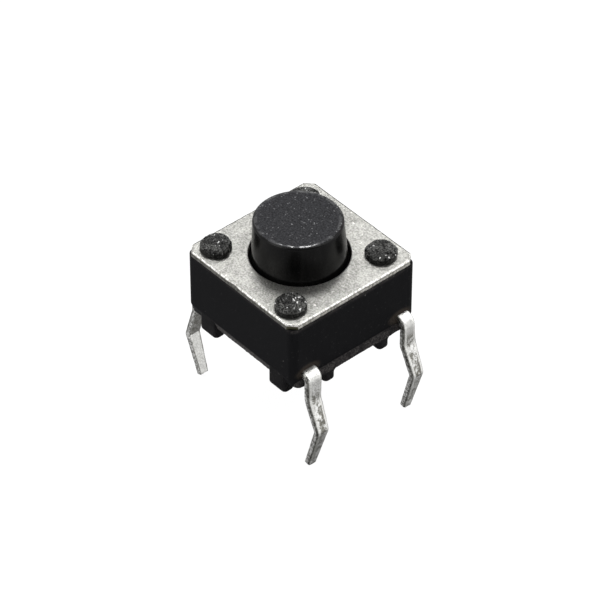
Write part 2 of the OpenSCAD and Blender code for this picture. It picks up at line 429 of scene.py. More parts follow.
def speck_group():
    """Small uneven specks: cells of one size on coordinates bent by a noise, a share of which are
    lit near their points, each by an amount of its own."""
    group, given, put, per_metre = shader_group("specks", ("Mask",), Size=0.15, Share=0.3)
    noise = add(group, "TexNoise", Vector=given["Place"], Detail=1.0,
                Scale=times(group, per_metre, 1.9)).outputs["Color"]
    centred = vector_node(group, "SUBTRACT", 0, i0=noise, i1=(0.5, 0.5, 0.5))
    shift = vector_node(group, "SCALE", 0, i0=centred, Scale=times(group, given["Size"], 1.1 * MM))
    bent = vector_node(group, "ADD", 0, i0=given["Place"], i1=shift)
    cells = add(group, "TexVoronoi", Vector=bent, Scale=per_metre, Randomness=1.0)
    pick = add(group, "SeparateColor", Color=cells.outputs["Color"])
    chosen = math_node(group, "LESS_THAN", pick.outputs[0], given["Share"])
    spot = band(group, cells.outputs["Distance"], 0.1, 0.32, 1.0, 0.0)
    sized = times(group, spot, pick.outputs[1])
    group.links.new(times(group, sized, chosen), put["Mask"])
    return group


def mottle_group():
    """Cloudy patches: warped noise at one size with its finer octaves, pushed towards its ends."""
    group, given, put, per_metre = shader_group("mottle", ("Shade",), Size=0.5)
    cloud = add(group, "TexNoise", Vector=given["Place"], Scale=per_metre, Detail=4.0,
                Roughness=0.65, Distortion=0.6)
    group.links.new(band(group, cloud.outputs[0], 0.3, 0.7), put["Shade"])
    return group


def crackle_group():
    """A net of fine cracks: the borders between cells of one size."""
    group, given, put, per_metre = shader_group("crackle", ("Mask",), Size=0.12)
    cells = add(group, "TexVoronoi", {"feature": "DISTANCE_TO_EDGE"}, Vector=given["Place"],
                Scale=per_metre, Randomness=1.0)
    group.links.new(band(group, cells.outputs["Distance"], 0.0, 0.14, 1.0, 0.0), put["Mask"])
    return group


grain = grain_group()
specks = speck_group()
mottle = mottle_group()
crackle = crackle_group()


def use(tree, group, place, **inputs):
    """A shared group in a material, with a place and values of its own."""
    return add(tree, "Group", {"node_tree": group}, Place=place, **inputs).outputs


def surface(name):
    """An empty material: its node tree, its Principled shader, Object coordinates and the zone."""
    material = bpy.data.materials.new(name)
    material.use_nodes = True
    tree = material.node_tree
    shader = tree.nodes["Principled BSDF"]
    place = add(tree, "TexCoord").outputs["Object"]
    zone = add(tree, "Attribute", {"attribute_name": "zone"}).outputs["Fac"]
    return material, tree, shader, place, zone


def bump(tree, height, depth):
    """A normal from a height, with the depth in millimetres."""
    return add(tree, "Bump", Height=height, Distance=depth * MM, Strength=1.0).outputs[0]


def stretched(tree, place, x, y, z):
    """Coordinates drawn out along some axes, so that a noise on them becomes streaks."""
    return add(tree, "Mapping", Vector=place, Scale=(x, y, z)).outputs[0]


def moulded_black():
    """Black moulded plastic: fine grain, faint upright flow streaks and a few crumbs of dust. Zone
    0 is the wall, zone 1 the plinth, which is paler and dusty, and zone 2 the ragged skirt, which
    is speckled dark and pale; its pale speckle is painted light from the floor. The plastic is
    brownish where the strips leave it."""
    material, tree, shader, place, zone = surface("moulded_black")
    fine = use(tree, grain, place, Size=0.05, Sharpness=0.2)
    streak = use(tree, grain, stretched(tree, place, 1, 1, 0.06), Size=0.12, Sharpness=0.22)
    dust = use(tree, specks, place, Size=0.1, Share=0.12)
    crumb = use(tree, specks, stretched(tree, place, 1, 0.9, 1), Size=0.13, Share=0.005)
    shade = weighed(tree, fine["Shade"], streak["Shade"], 0.5)
    plain = blend(tree, shade, (0.0046, 0.0046, 0.0053, 1), (0.0105, 0.0105, 0.0118, 1))
    cloud = use(tree, mottle, place, Size=0.5)
    paler = times(tree, math_node(tree, "MINIMUM", zone, 1.0), fine["Shade"])
    patchy = times(tree, paler, band(tree, cloud["Shade"], 0.0, 0.8, 0.3, 1.0))
    plinth = blend(tree, patchy, plain, (0.085, 0.078, 0.076, 1))
    # The skirt band, speckled dark and pale: the pale speckle is painted light from the floor
    ragged = blend(tree, fine["Shade"], (0.008, 0.008, 0.008, 1), (0.125, 0.118, 0.116, 1))
    edged = blend(tree, band(tree, zone, 1.1, 1.8), plinth, ragged)
    aside = vector_node(tree, "ABSOLUTE", 0, i0=place)
    strip_at = (WALL_X * MM, STRIP_Y * MM, (STRIP_TOP - COLLAR_DROP) * MM)
    from_strip = vector_node(tree, "SUBTRACT", 0, i0=aside, i1=strip_at)
    reach = stretched(tree, from_strip, 0, 1 / (COLLAR[0] * MM), 1 / (COLLAR[1] * MM))
    near = vector_node(tree, "LENGTH", 1, i0=reach)
    collar = times(tree, band(tree, near, 0.9, 1.5, 1.0, 0.0),
                   band(tree, fine["Shade"], 0.0, 1.0, 0.4, 1.0))
    body = blend(tree, collar, edged, (0.05, 0.041, 0.033, 1))
    dusty = most(tree, times(tree, dust["Mask"], band(tree, zone, 0.0, 1.0, 0.12, 0.8)), crumb["Mask"])
    join(tree, shader,
         Base_Color=blend(tree, dusty, body, (0.3, 0.29, 0.28, 1)),
         Roughness=band(tree, shade, 0.0, 1.0, 0.36, 0.56),
         Specular_IOR_Level=0.03,
         Normal=bump(tree, fine["Height"], 0.008))
    return material


def melted_black():
    """Plastic that was melted down: black and lumpy, with a paler grit in patches, white spots that
    are painted glints, most of them on its top (zone 1), and a darker rim."""
    material, tree, shader, place, zone = surface("melted_black")
    lump = use(tree, grain, place, Size=0.22, Sharpness=0.14, Fineness=0.2)
    grit = use(tree, grain, place, Size=0.07, Sharpness=0.08)
    patch = use(tree, mottle, stretched(tree, place, 0.9, 1.1, 1), Size=0.45)
    # White spots in the base colour: painted glints
    painted_glints = use(tree, specks, stretched(tree, place, 1.0, 1.12, 1), Size=0.17, Share=0.38)
    on_top = band(tree, zone, 0.35, 1.0)
    gritty = times(tree, grit["Shade"], band(tree, patch["Shade"], 0.2, 0.8, 0.3, 1.0))
    paler = times(tree, gritty, band(tree, on_top, 0.0, 1.0, 0.2, 1.0))
    dark = blend(tree, paler, (0.001, 0.001, 0.001, 1), (0.13, 0.13, 0.124, 1))
    # The painted glints, most of them on the top
    marked = times(tree, painted_glints["Mask"], band(tree, on_top, 0.0, 1.0, 0.3, 2.2), clamp=True)
    join(tree, shader,
         Base_Color=blend(tree, marked, dark, (0.95, 0.95, 0.94, 1)),
         Roughness=band(tree, lump["Shade"], 0.0, 1.0, 0.4, 0.2),
         Specular_IOR_Level=0.12,
         Normal=bump(tree, lump["Height"], 0.1))
    return material


def button_black():
    """Black button: a finely grained, dusty top (zone 1), a smooth side (zone 0), and a polished
    edge between them that carries a clear gloss."""
    material, tree, shader, place, zone = surface("button_black")
    fine = use(tree, grain, place, Size=0.06, Sharpness=0.18)
    dust = use(tree, specks, place, Size=0.11, Share=0.5)
    streak = use(tree, grain, stretched(tree, place, 1, 1, 0.05), Size=0.3, Sharpness=0.2)
    on_top = band(tree, zone, 0.8, 0.88)
    top = blend(tree, fine["Shade"], (0.0012, 0.0012, 0.0022, 1), (0.0425, 0.043, 0.048, 1))
    side = blend(tree, streak["Shade"], (0.0016, 0.0016, 0.0016, 1), (0.005, 0.0048, 0.0046, 1))
    bare = blend(tree, on_top, side, top)
    dusty = times(tree, dust["Mask"], band(tree, on_top, 0.0, 1.0, 0.02, 0.9))
    height = times(tree, fine["Height"], band(tree, on_top, 0.0, 1.0, 0.1, 1.0))
    polished = times(tree, band(tree, zone, 0.55, 0.8), band(tree, zone, 0.94, 0.99, 1.0, 0.0))
    worn = times(tree, polished, band(tree, streak["Shade"], 0.3, 0.75, 0.08, 1.0))
    join(tree, shader,
         Base_Color=blend(tree, dusty, bare, (0.42, 0.42, 0.43, 1)),
         Roughness=band(tree, on_top, 0.0, 1.0, 0.23, 0.55),
         Specular_IOR_Level=0.14,
         Coat_Weight=worn,
         Coat_Roughness=0.08,
         Normal=bump(tree, height, 0.008))
    return material


def plated_cover():
    """Plated sheet steel: satin grain with bright flecks of painted sparkle, dark pits and cloudy
    patches. Zone 0 is the face. On a sheared edge the zone runs from 0 at the rolled rim to 1 at
    the lower burr. 2 is added to it on the -Y and +Y sides, whose edges are painted darker as
    shade, and 4 on the bare clipped corners. The rolled rims are painted brighter and broken by
    nicks, as a painted highlight; those of the two far sides are instead painted dark as shade,
    with a zone of 1."""
    material, tree, shader, place, zone = surface("plated_cover")
    fine = use(tree, grain, place, Size=0.07, Sharpness=0.17)
    cloud = use(tree, mottle, place, Size=0.8)
    # Bright flecks in the metal's colour: painted sparkle
    painted_sparkle = use(tree, specks, place, Size=0.17, Share=0.26)
    pit = use(tree, specks, stretched(tree, place, 1.3, 1.1, 1), Size=0.2, Share=0.16)
    nick = use(tree, grain, stretched(tree, place, 1, 1, 0.6), Size=0.1, Sharpness=0.16)
    shade = weighed(tree, fine["Shade"], cloud["Shade"], 0.65)
    face = blend(tree, shade, (0.19, 0.189, 0.177, 1), (0.54, 0.535, 0.506, 1))
    pitted = blend(tree, times(tree, pit["Mask"], 0.7), face, (0.12, 0.12, 0.11, 1))
    lit = blend(tree, times(tree, painted_sparkle["Mask"], 0.8), pitted, (0.97, 0.96, 0.93, 1))
    # The sheared edges of the -Y and +Y sides get darker colours: painted shade
    dull = band(tree, zone, 1.3, 1.7)
    bare = band(tree, zone, 3.3, 3.7)
    down = math_node(tree, "SUBTRACT", zone, times(tree, plus(tree, dull, bare), 2.0))
    bright_low = blend(tree, nick["Shade"], (0.34, 0.33, 0.29, 1), (0.9, 0.89, 0.83, 1))
    painted_shade_low = blend(tree, nick["Shade"], (0.1, 0.098, 0.09, 1), (0.28, 0.275, 0.25, 1))
    sheared_with_painted_shade = blend(tree, dull, bright_low, painted_shade_low)
    sheared = blend(tree, bare, sheared_with_painted_shade, (0.075, 0.072, 0.045, 1))
    line = blend(tree, band(tree, down, 0.34, 0.5, 1.0, 0.0), sheared, (0.2, 0.19, 0.16, 1))
    # The rolled rims' bright colour, broken by nicks: a painted highlight
    painted_rim_highlight = blend(tree, band(tree, nick["Shade"], 0.15, 0.6), (0.5, 0.49, 0.46, 1), (1.0, 0.99, 0.95, 1))
    rim = blend(tree, band(tree, down, 0.2, 0.36), painted_rim_highlight, line)
    edge = blend(tree, band(tree, down, 0.86, 1.0), rim, (0.03, 0.03, 0.028, 1))
    on_edge = band(tree, down, 0.0, 0.05)
    height = plus(tree, fine["Height"], times(tree, nick["Height"], on_edge))
    join(tree, shader,
         Base_Color=blend(tree, on_edge, lit, edge),
         Metallic=1.0,
         Roughness=band(tree, shade, 0.0, 1.0, 0.46, 0.34),
         Normal=bump(tree, height, 0.009))
    return material


def tinned_strip():
    """Tin on a sheared strip: bright, with dull patches and, below its bends, a net of fine
    cracks, and painted lighter higher up, as light on its upper bends. The zone runs from 0 in the
    middle of the upper face to 0.8 at its edges, which are painted white as a highlight, and on to
    2 and 3 on the sheared sides, which are dark at first and then paler and scored. The inner faces
    of the legs are painted darker above the kinks, as shade, with a zone of -1, and painted white
    below them, as light, with -2. Below the kinks the outer faces are painted darker too, as shade,
    and their edge highlight is weaker. On the kinks of the legs on one side a dark line is painted
    as shade, and one of these legs is scratched."""
    material, tree, shader, place, zone = surface("tinned_strip")
    cloud = use(tree, mottle, place, Size=0.45)
    fine = use(tree, grain, place, Size=0.1, Sharpness=0.1)
    cracks = use(tree, crackle, place, Size=0.13)
    score = use(tree, grain, place, Size=0.11, Sharpness=0.12)
    shade = weighed(tree, cloud["Shade"], fine["Shade"], 0.62)
    at = add(tree, "SeparateXYZ", Vector=place).outputs
    # Higher up the tin is painted lighter, as light on its upper bends
    upper = band(tree, at["Z"], 0.1 * MM, 0.6 * MM, 0.0, 0.7)
    smooth = most(tree, band(tree, shade, 0.22, 0.88), upper)
    bright = blend(tree, smooth, (0.24, 0.233, 0.2, 1), (1.0, 1.0, 0.98, 1))
    below = band(tree, at["Z"], 0.0, 0.6 * MM, 1.0, 0.2)
    patchy = times(tree, below, band(tree, cloud["Shade"], 0.2, 0.8, 0.65, 0.1))
    cracked = times(tree, cracks["Mask"], patchy)
    outer = math_node(tree, "GREATER_THAN", at["X"], WALL_X * MM)
    from_kink = math_node(tree, "ABSOLUTE", math_node(tree, "SUBTRACT", at["Z"], CREASE_Z * MM))
    # A dark line along the kinks of the +X legs: painted shade
    painted_kink_shade = times(tree, outer, band(tree, from_kink, 0.015 * MM, 0.05 * MM, 0.85, 0.0))
    from_scratch = math_node(tree, "ABSOLUTE", math_node(tree, "SUBTRACT", at["Y"], SCRATCH_Y * MM))
    ends = times(tree, band(tree, at["Z"], CREASE_Z * MM, (CREASE_Z + 0.1) * MM),
                 band(tree, at["Z"], (SCRATCH_TOP - 0.15) * MM, SCRATCH_TOP * MM, 1.0, 0.0))
    scratch = times(tree, ends, band(tree, from_scratch, 0.015 * MM, 0.045 * MM, 0.9, 0.0))
    # Cracks, the scratch and the painted shade at the kinks
    marks_and_kink_shade = most(tree, cracked, most(tree, painted_kink_shade, scratch))
    marked = blend(tree, marks_and_kink_shade, bright, (0.2, 0.195, 0.18, 1))
    # Inner faces above the kinks are painted darker, as shade
    face = blend(tree, band(tree, zone, -0.9, -0.3, 0.55, 0.0), marked, (0.2, 0.192, 0.17, 1))
    # Outer faces below the kinks are painted darker, as shade
    tucked = band(tree, at["Z"], (CREASE_Z - 0.15) * MM, CREASE_Z * MM, 1.0, 0.0)
    painted_shade_below_kinks = blend(tree, times(tree, tucked, 0.35), face, (0.25, 0.25, 0.24, 1))
    # Edges painted white as a highlight, weaker below the kinks, and inner faces below the kinks painted
    # white as light
    on_edge = times(tree, band(tree, zone, 0.55, 0.75, 0.0, 0.9),
                    band(tree, tucked, 0.0, 1.0, 1.0, 0.25))
    painted_light_mask = most(tree, on_edge, band(tree, zone, -1.8, -1.4, 0.92, 0.0))
    white = blend(tree, times(tree, cracks["Mask"], 0.3), (1.0, 1.0, 0.97, 1), (0.4, 0.39, 0.34, 1))
    polished = blend(tree, painted_light_mask, painted_shade_below_kinks, white)
    dark_side = blend(tree, score["Shade"], (0.07, 0.068, 0.06, 1), (0.3, 0.3, 0.28, 1))
    pale_side = blend(tree, score["Shade"], (0.26, 0.255, 0.24, 1), (1.0, 1.0, 0.98, 1))
    paler = most(tree, band(tree, zone, 1.85, 2.25), times(tree, tucked, band(tree, zone, 1.6, 1.9)))
    side = blend(tree, paler, dark_side, pale_side)
    height = plus(tree, cloud["Shade"], fine["Height"])
    join(tree, shader,
         Base_Color=blend(tree, band(tree, zone, 1.1, 1.35), polished, side),
         Metallic=1.0,
         Roughness=band(tree, shade, 0.0, 1.0, 0.42, 0.24),
         Normal=bump(tree, height, 0.012))
    return material


def spring_metal():
    """Thin spring metal with a fine rolled grain."""
    material, tree, shader, place, _ = surface("spring_metal")
    rolled = use(tree, grain, stretched(tree, place, 0.1, 1, 1), Size=0.08, Sharpness=0.25)
    join(tree, shader,
         Base_Color=blend(tree, rolled["Shade"], (0.5, 0.46, 0.36, 1), (0.68, 0.63, 0.5, 1)),
         Metallic=1.0,
         Roughness=band(tree, rolled["Shade"], 0.0, 1.0, 0.25, 0.4),
         Normal=bump(tree, rolled["Height"], 0.003))
    return material


# Pieces

def foot(width, top, fillet):
    """A foot with its outer face on Y = 0: rounded rectangles stacked from the wall down, which
    narrow by a hollow fillet under the wall and by a round lower edge, closed at both ends."""
    low_edge = arc(FOOT_LOW_R, FOOT_LOW_R, FOOT_LOW_R, 180, 270, 6)
    hollow = arc(-fillet, top - fillet, fillet, 90, 0, 6)
    profile = chain((-fillet, top + HOLD), hollow, low_edge)
    rings = []
    for inset, height in profile:
        depth_inset = max(inset, 0)
        outline, _ = rounded_outline(width / 2 - inset, FOOT_DEPTH / 2 - depth_inset, FOOT_EDGE_R, 6, 6)
        rings.append(np.column_stack((outline + (0, FOOT_DEPTH / 2), np.full(len(outline), height))))
    rings = np.stack(rings)
    first, last = rings[0], rings[-1]
    closed = np.concatenate((np.broadcast_to(first.mean(0), first.shape)[None], rings,
                             (0.9 * last + 0.1 * last.mean(0))[None],
                             np.broadcast_to(last.mean(0), last.shape)[None]))
    return grid(closed, 0.2)


def flash(points, size, seed):
    """Depth of the moulding flash at each point: a wide and half a fine wave, cut off at the ends."""
    return FLASH * np.clip(waves(points, size, seed) + 0.5 * waves(points, 0.05, seed + 1), -0.5, 2)


def lower_part():
    """The lower part of the base: a profile with a round lower edge, an upright face and a slope
    that leads into the wall, carried round a rounded rectangle and closed at both ends. Its
    lowest edge carries a little moulding flash."""
    edge = LOW_EDGE_R
    slope = PLINTH_X - WALL_X
    outline, way = rounded_outline(PLINTH_X, WALL_Y - REBATE_W, CORNER_R, 90, 10)
    profile = chain(arc(edge, STAND_OFF + edge, edge, 270, 180, 5), (0, STAND_OFF + 2 * edge),
                    (0, PLINTH_TOP - HOLD), (0.5 * HOLD, PLINTH_TOP),
                    (2 * slope, PLINTH_TOP + 1.5 * slope))
    points, faces, zone = carried(outline, way, profile, np.ones(len(profile)))
    low = points[:, 2] < STAND_OFF + 1.5 * edge
    points[:, 2] -= low * flash(points, 0.14, 71)
    under, over = (outline - way * profile[place, 0] for place in (0, -1))
    return [(points, faces, zone), spread(under, STAND_OFF, 0 * under, (0, 0.02, 1), 0.3),
            spread(over, profile[-1, 1], 0 * over, (0, 1), 0.3)]


def base_piece():
    """Body of the base. A profile runs from the lower edge over the wall to the top edge, carried
    round a rounded rectangle; on the plain sides its lower part draws in evenly, as a ragged
    skirt. Level faces close it underneath, a hair above the lower part's own, and run on top to
    the round cavity, which is a turned cup. The lower part and the feet hang under it."""
    outline, way = rounded_outline(WALL_X, WALL_Y, CORNER_R, 90, 10)
    edge = LOW_EDGE_R
    under = arc(edge, STAND_OFF + edge, edge, 270, 180, 5)
    over = arc(edge, BASE_TOP - edge, edge, 180, 90, 5)
    skirt = np.column_stack((np.zeros(8), np.linspace(STAND_OFF + 2 * edge, SKIRT_TOP, 8)))
    profile = chain(under, skirt, (0, SKIRT_TOP + HOLD), (0, BASE_TOP - 3 * WALL_EDGE_R), over)
    top_edge = profile[:, 1] > BASE_TOP - WALL_EDGE_R
    points, faces, zones = carried(outline, way, profile, 0.7 * top_edge)
    on_plain = np.tile(np.clip(2 * np.abs(way[:, 1]), 0, 1), len(profile))
    drawn = on_plain * np.clip((SKIRT_TOP - points[:, 2]) / (SKIRT_TOP - STAND_OFF), 0, 1)
    # Zone 2 marks the skirt band on the straight plain sides, painted pale as light from the floor, with
    # a ragged upper border
    ragged = np.tile((np.abs(way[:, 1]) > 0.99) & (np.abs(outline[:, 0]) < RAGGED_TO), len(profile))
    zones = np.maximum(zones, 2 * ragged * np.clip(8 * drawn + 0.4 * waves(points, 0.12, 63) - 1, 0, 1))
    points[:, :2] -= SKIRT_IN * drawn[:, None] * np.tile(way, (len(profile), 1))
    low = points[:, 2] < STAND_OFF + 2.5 * edge
    points[:, 2] -= low * flash(points, 0.12, 61)
    low_rim = points[:len(outline), :2]
    top_rim = outline - way * profile[-1, 0]
    facing = np.arctan2(top_rim[:, 1], top_rim[:, 0])
    mouth = CAVITY_R * np.column_stack((np.cos(facing), np.sin(facing)))
    cup_profile = np.array([(CAVITY_R, BASE_TOP), (CAVITY_R, CAVITY_FLOOR), (0, CAVITY_FLOOR)])
    cup = np.stack((cup_profile[:, :1] * np.cos(facing), cup_profile[:, :1] * np.sin(facing),
                    np.repeat(cup_profile[:, 1:], len(facing), 1)), -1)
    under_face = spread(low_rim, STAND_OFF, 0 * low_rim, (0, 0.02, 1), 0.3)
    under_face[0][len(low_rim):, 2] += HOLD
    patches = [(points, faces, zones), under_face,
               spread(top_rim, BASE_TOP, mouth, (0, 0.05, 1), 0.0), grid(cup, 0.0), *lower_part()]
    plain_foot = foot(PLAIN_FOOT_W, SKIRT_TOP, PLAIN_FOOT_FILLET)
    leg_foot = foot(LEG_FOOT_W, STAND_OFF, LEG_FOOT_FILLET)
    for turn, made, at, face in ((0, plain_foot, PLAIN_FOOT_AT, WALL_Y),
                                 (1, leg_foot, LEG_FOOT_AT, PLINTH_X)):
        for side in (-1, 1):
            placed = moved(made, (side * at + FOOT_SHIFT, FOOT_INSET - face, 0))
            patches += [moved(placed, quarter_turns=turn + opposite) for opposite in (0, 2)]
    piece("moulded_base", patches, moulded_black(), "housing", "base_housing")


def melted_head(x, y, rise, seed):
    """A post with a melted head: a turned profile whose rim and top are moved by lumps."""
    top_z = PLATE_TOP + rise
    edge = arc(HEAD_R - HEAD_EDGE_R, top_z - HEAD_EDGE_R, HEAD_EDGE_R, 0, 90, 8)
    top = np.column_stack((np.linspace(HEAD_R - HEAD_EDGE_R, 0, 14)[1:], np.full(13, top_z)))
    post_z = BASE_TOP - POST_DEPTH
    profile = chain((0, post_z), (POST_R, post_z), (POST_R, PLATE_TOP - HOLD), (POST_R, PLATE_TOP),
                    (HEAD_R - 0.03, PLATE_TOP), (HEAD_R, PLATE_TOP + 0.04), edge, top)
    # Zone 1 on the top, where the grit is paler and most painted glints lie, and 0.35 on the darker rim
    points, faces, zone = turned(profile, 72, np.where(profile[:, 1] > top_z - 0.1, 1.0, 0.35), (x, y))
    from_axis = points[:, :2] - (x, y)
    around = np.linalg.norm(from_axis, axis=1, keepdims=True)
    raised = np.clip((points[:, 2:] - PLATE_TOP) / rise, 0, 1)
    outward = from_axis / np.maximum(around, 1e-6)
    rim = np.clip(around / HEAD_R, 0, 1) ** 2
    swell = (HEAD_SWELL[0] * waves(points * (1, 1, 0.4), 0.5, seed)
             + HEAD_SWELL[1] * waves(points, 0.16, seed + 1))[:, None]
    lumps = (HEAD_LUMPS[0] * waves(points, 0.4, seed + 2)
             + HEAD_LUMPS[1] * waves(points, 0.18, seed + 3))[:, None]
    points = points + np.hstack((outward * rim * swell * (raised > 0), raised * lumps))
    return points, faces, zone


def heads_piece():
    """The four staked posts with their melted heads."""
    patches = [melted_head(*head, 11 + 7 * number) for number, head in enumerate(HEADS)]
    piece("staked_heads", patches, melted_black(), "housing", "base_housing")


def clipped_rings(insets, steps=40):
    """Rings of a square with clipped corners, each moved inwards by its inset: eight straight
    sides cut into even steps. The clip shortens by 2 minus the root of 2 for each unit of inset."""
    inset = np.asarray(insets, float)[:, None]
    x, y = PLATE_HALF[0] - inset, PLATE_HALF[1] - inset
    clip = PLATE_CLIP - (2 - math.sqrt(2)) * inset
    corner_x = np.hstack((x, x, x - clip, clip - x, -x, -x, clip - x, x - clip))
    corner_y = np.hstack((clip - y, y - clip, y, y, y - clip, clip - y, -y, -y))
    corners = np.stack((corner_x, corner_y), -1)[:, :, None]
    ends = np.roll(corners, -1, axis=1)
    share = np.concatenate(([0, 0.004], np.linspace(0, 1, steps + 1)[1:-1], [0.996]))[:, None]
    return (corners + share * (ends - corners)).reshape(len(inset), -1, 2)


def cover_piece():
    """The cover plate: one ring-shaped surface. A profile runs up the sheared edge, over its
    rolled upper rim, level to the hole's rim and down the hole, and back underneath. The edge is
    uneven, with one dent on the left front side."""
    thick = PLATE_TOP - BASE_TOP
    sheared = chain((BURR + 0.06, 0), (BURR, 0), (0, BURR), (0, 0.35 * thick),
                    (EDGE_DRAW, thick - PLATE_EDGE_R - HOLD))
    roll = arc(PLATE_EDGE_R, thick - PLATE_EDGE_R, PLATE_EDGE_R, 180, 90, 6)
    outer = chain(sheared, roll, (PLATE_EDGE_R + HOLD, thick))
    hole_roll = arc(HOLE_EDGE_R, thick - HOLE_EDGE_R, HOLE_EDGE_R, 90, 180, 6)
    inner = chain((HOLE_EDGE_R + HOLD, thick), hole_roll, (0, 0.1), (0, 0), (HOLD, 0))
    rings = clipped_rings(outer[:, 0])
    rim = rings[2]
    facing = np.arctan2(rim[:, 1], rim[:, 0])
    to_middle = -rim / np.linalg.norm(rim, axis=1, keepdims=True)
    dent = np.exp(-((rim - DENT_AT) ** 2).sum(1) / DENT_R ** 2)
    low_part = np.exp(-((outer[:, 1] / thick - 0.5) / 0.3) ** 2)[:, None]
    uneven = EDGE_LUMP * waves(rim, 0.3, 5)[None] + DENT_DEPTH * dent[None] * low_part
    rings = rings + uneven[..., None] * to_middle[None]
    around = np.column_stack((np.cos(facing), np.sin(facing)))
    hole = (PLATE_HOLE_R + inner[:, :1, None]) * around[None] + PLATE_HOLE_AT
    flat = np.concatenate((rings, hole))
    height = BASE_TOP + np.concatenate((outer, inner))[:, 1]
    points = np.concatenate((flat, np.broadcast_to(height[:, None, None], flat.shape[:2] + (1,))), -1)
    down = np.concatenate((1 - outer[:, 1] / thick, 0.7 - 0.7 * inner[:, 1] / thick))[:, None]
    on_clip = np.abs(rim).sum(1) > PLATE_HALF.sum() - PLATE_CLIP - 0.02
    side_x, side_y = PLATE_HALF - 0.1
    # 2 on the -Y and +Y sides, whose edges are painted darker as shade, and 4 on the clipped corners
    kind = np.where(on_clip, 4.0, 2.0 * (np.abs(rim[:, 1]) > side_y))[None] * (down > 0)
    kind[len(outer):] = 0
    # The rolled rims of the two far sides get zone 1, and so the dark lower colour: painted shade
    far = ~on_clip & ((rim[:, 0] < -side_x) | (rim[:, 1] > side_y))
    row = np.arange(len(points))[:, None]
    on_roll = (row >= len(sheared)) & (row < len(sheared) + len(roll))
    zone = np.where(far & on_roll, 1.0, down + kind)
    patch = grid(points, zone, wrap_rows=True)
    piece("cover_plate_sheet", [patch], plated_cover(), "housing", "cover_plate")


def button_piece():
    """The button: one turned profile from its nub over the flange, the tapered side and the round
    upper edge to the top, leaning a little towards one side with height. The edge is a tight arc
    that runs on into a slow one. The zone is the edge's angle as a share of a quarter turn."""
    meet = math.radians(BUTTON_SLOW_TO)
    slow_at = BUTTON_TOP_R - BUTTON_TIGHT_R - (BUTTON_SLOW_R - BUTTON_TIGHT_R) * math.cos(meet)
    slow_z = BUTTON_TOP - BUTTON_SLOW_R
    tight_at = BUTTON_TOP_R - BUTTON_TIGHT_R
    tight_z = slow_z + (BUTTON_SLOW_R - BUTTON_TIGHT_R) * math.sin(meet)
    top_arc = chain(arc(tight_at, tight_z, BUTTON_TIGHT_R, BUTTON_TIGHT_TO, BUTTON_SLOW_TO, 12)[:-1],
                    arc(slow_at, slow_z, BUTTON_SLOW_R, BUTTON_SLOW_TO, 90, 12))
    arc_zone = np.concatenate((np.linspace(BUTTON_TIGHT_TO, BUTTON_SLOW_TO, 13)[:-1],
                               np.linspace(BUTTON_SLOW_TO, 90, 13))) / 90
    top = np.column_stack((np.linspace(slow_at, 0, 12)[1:], np.full(11, BUTTON_TOP)))
    side = np.column_stack((np.linspace(BUTTON_R, top_arc[0, 0], 10),
                            np.linspace(PLATE_TOP, top_arc[0, 1], 10)))
    flange_z = BASE_TOP - FLANGE_T
    profile = chain((0, NUB_Z), (NUB_R - 0.05, NUB_Z), (NUB_R, NUB_Z + 0.05), (NUB_R, flange_z),
                    (FLANGE_R, flange_z), (FLANGE_R, BASE_TOP), (BUTTON_R + HOLD, BASE_TOP),
                    (BUTTON_R, BASE_TOP + HOLD), side, top_arc, top)
    lower_zone = np.zeros(len(profile) - len(top_arc) - len(top))
    zone = np.concatenate((lower_zone, arc_zone, np.ones(len(top))))
    points, faces, zones = turned(profile, 144, zone)
    height = np.clip((points[:, 2:] - PLATE_TOP) / (BUTTON_TOP - PLATE_TOP), 0, 1)
    points = points + np.hstack((BUTTON_AT + height * BUTTON_LEAN, 0 * height))
    patch = (points, faces, zones)
    piece("push_button", [patch], button_black(), "button", "plunger")


def dome_piece():
    """The snap dome: a shallow cap of a sphere, turned, with an inner and an outer skin."""
    radius = (DOME_R ** 2 + DOME_RISE ** 2) / (2 * DOME_RISE)
    reach = np.linspace(0, DOME_R, 20)
    sag = radius - np.sqrt(radius ** 2 - reach ** 2)
    crown = CONTACT_Z + DOME_RISE
    upper = np.column_stack((reach, crown + DOME_T - sag))
    lower = np.column_stack((reach, crown - sag))[::-1]
    patch = turned(np.concatenate((upper, lower)), 72, 0.0)
    made = piece("snap_dome", [patch], spring_metal(), "housing", "contact_dome")
    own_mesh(made)


def leg_path(kink_drop, kink_out, tip_in, tip_z, bend_r, steps=10):
    """Middle line of a leg in X and Z with the strip's fall in degrees: level out of the wall, a
    quarter bend down, a flare outwards, a kink inwards and a straight run to the tip."""
    bend_z = STRIP_TOP - STRIP_T / 2 - bend_r
    upright = LEG_BEND_X + BEND_R
    flare = math.degrees(math.atan2(kink_out, kink_drop - FLARE_DROP))
    tuck = math.degrees(math.atan2(kink_out + tip_in, -tip_z - kink_drop))
    fall_flare, fall_tuck = 90 - flare, 90 + tuck

    def bend(x, z, radius, start, end):
        """Points of an arc about X and Z between two falls, with the fall at each."""
        fall = np.linspace(start, end, steps + 1)
        angle = np.radians(fall)
        return np.column_stack((x + radius * np.sin(angle), z + radius * np.cos(angle), fall))

    out = math.radians(fall_flare)
    way_out = np.array([math.cos(out), -math.sin(out)])
    corner = np.array([upright + kink_out, -kink_drop])
    start = corner - way_out * KINK_R * math.tan(math.radians(fall_tuck - fall_flare) / 2)
    centre = start - KINK_R * np.array([math.sin(out), math.cos(out)])
    flare_z = -FLARE_DROP + FLARE_R * math.tan(math.radians(flare) / 2)
    turns = (bend(upright - bend_r, bend_z, bend_r, 0, 90),
             bend(upright + FLARE_R, flare_z, -FLARE_R, 90, fall_flare),
             bend(*centre, KINK_R, fall_flare, fall_tuck))
    tip_x = corner[0] - (kink_out + tip_in)
    line = np.concatenate(([(0, STRIP_TOP - STRIP_T / 2, 0)],) + turns + ([(tip_x, tip_z, fall_tuck)],))
    return evened(line, 0.05)


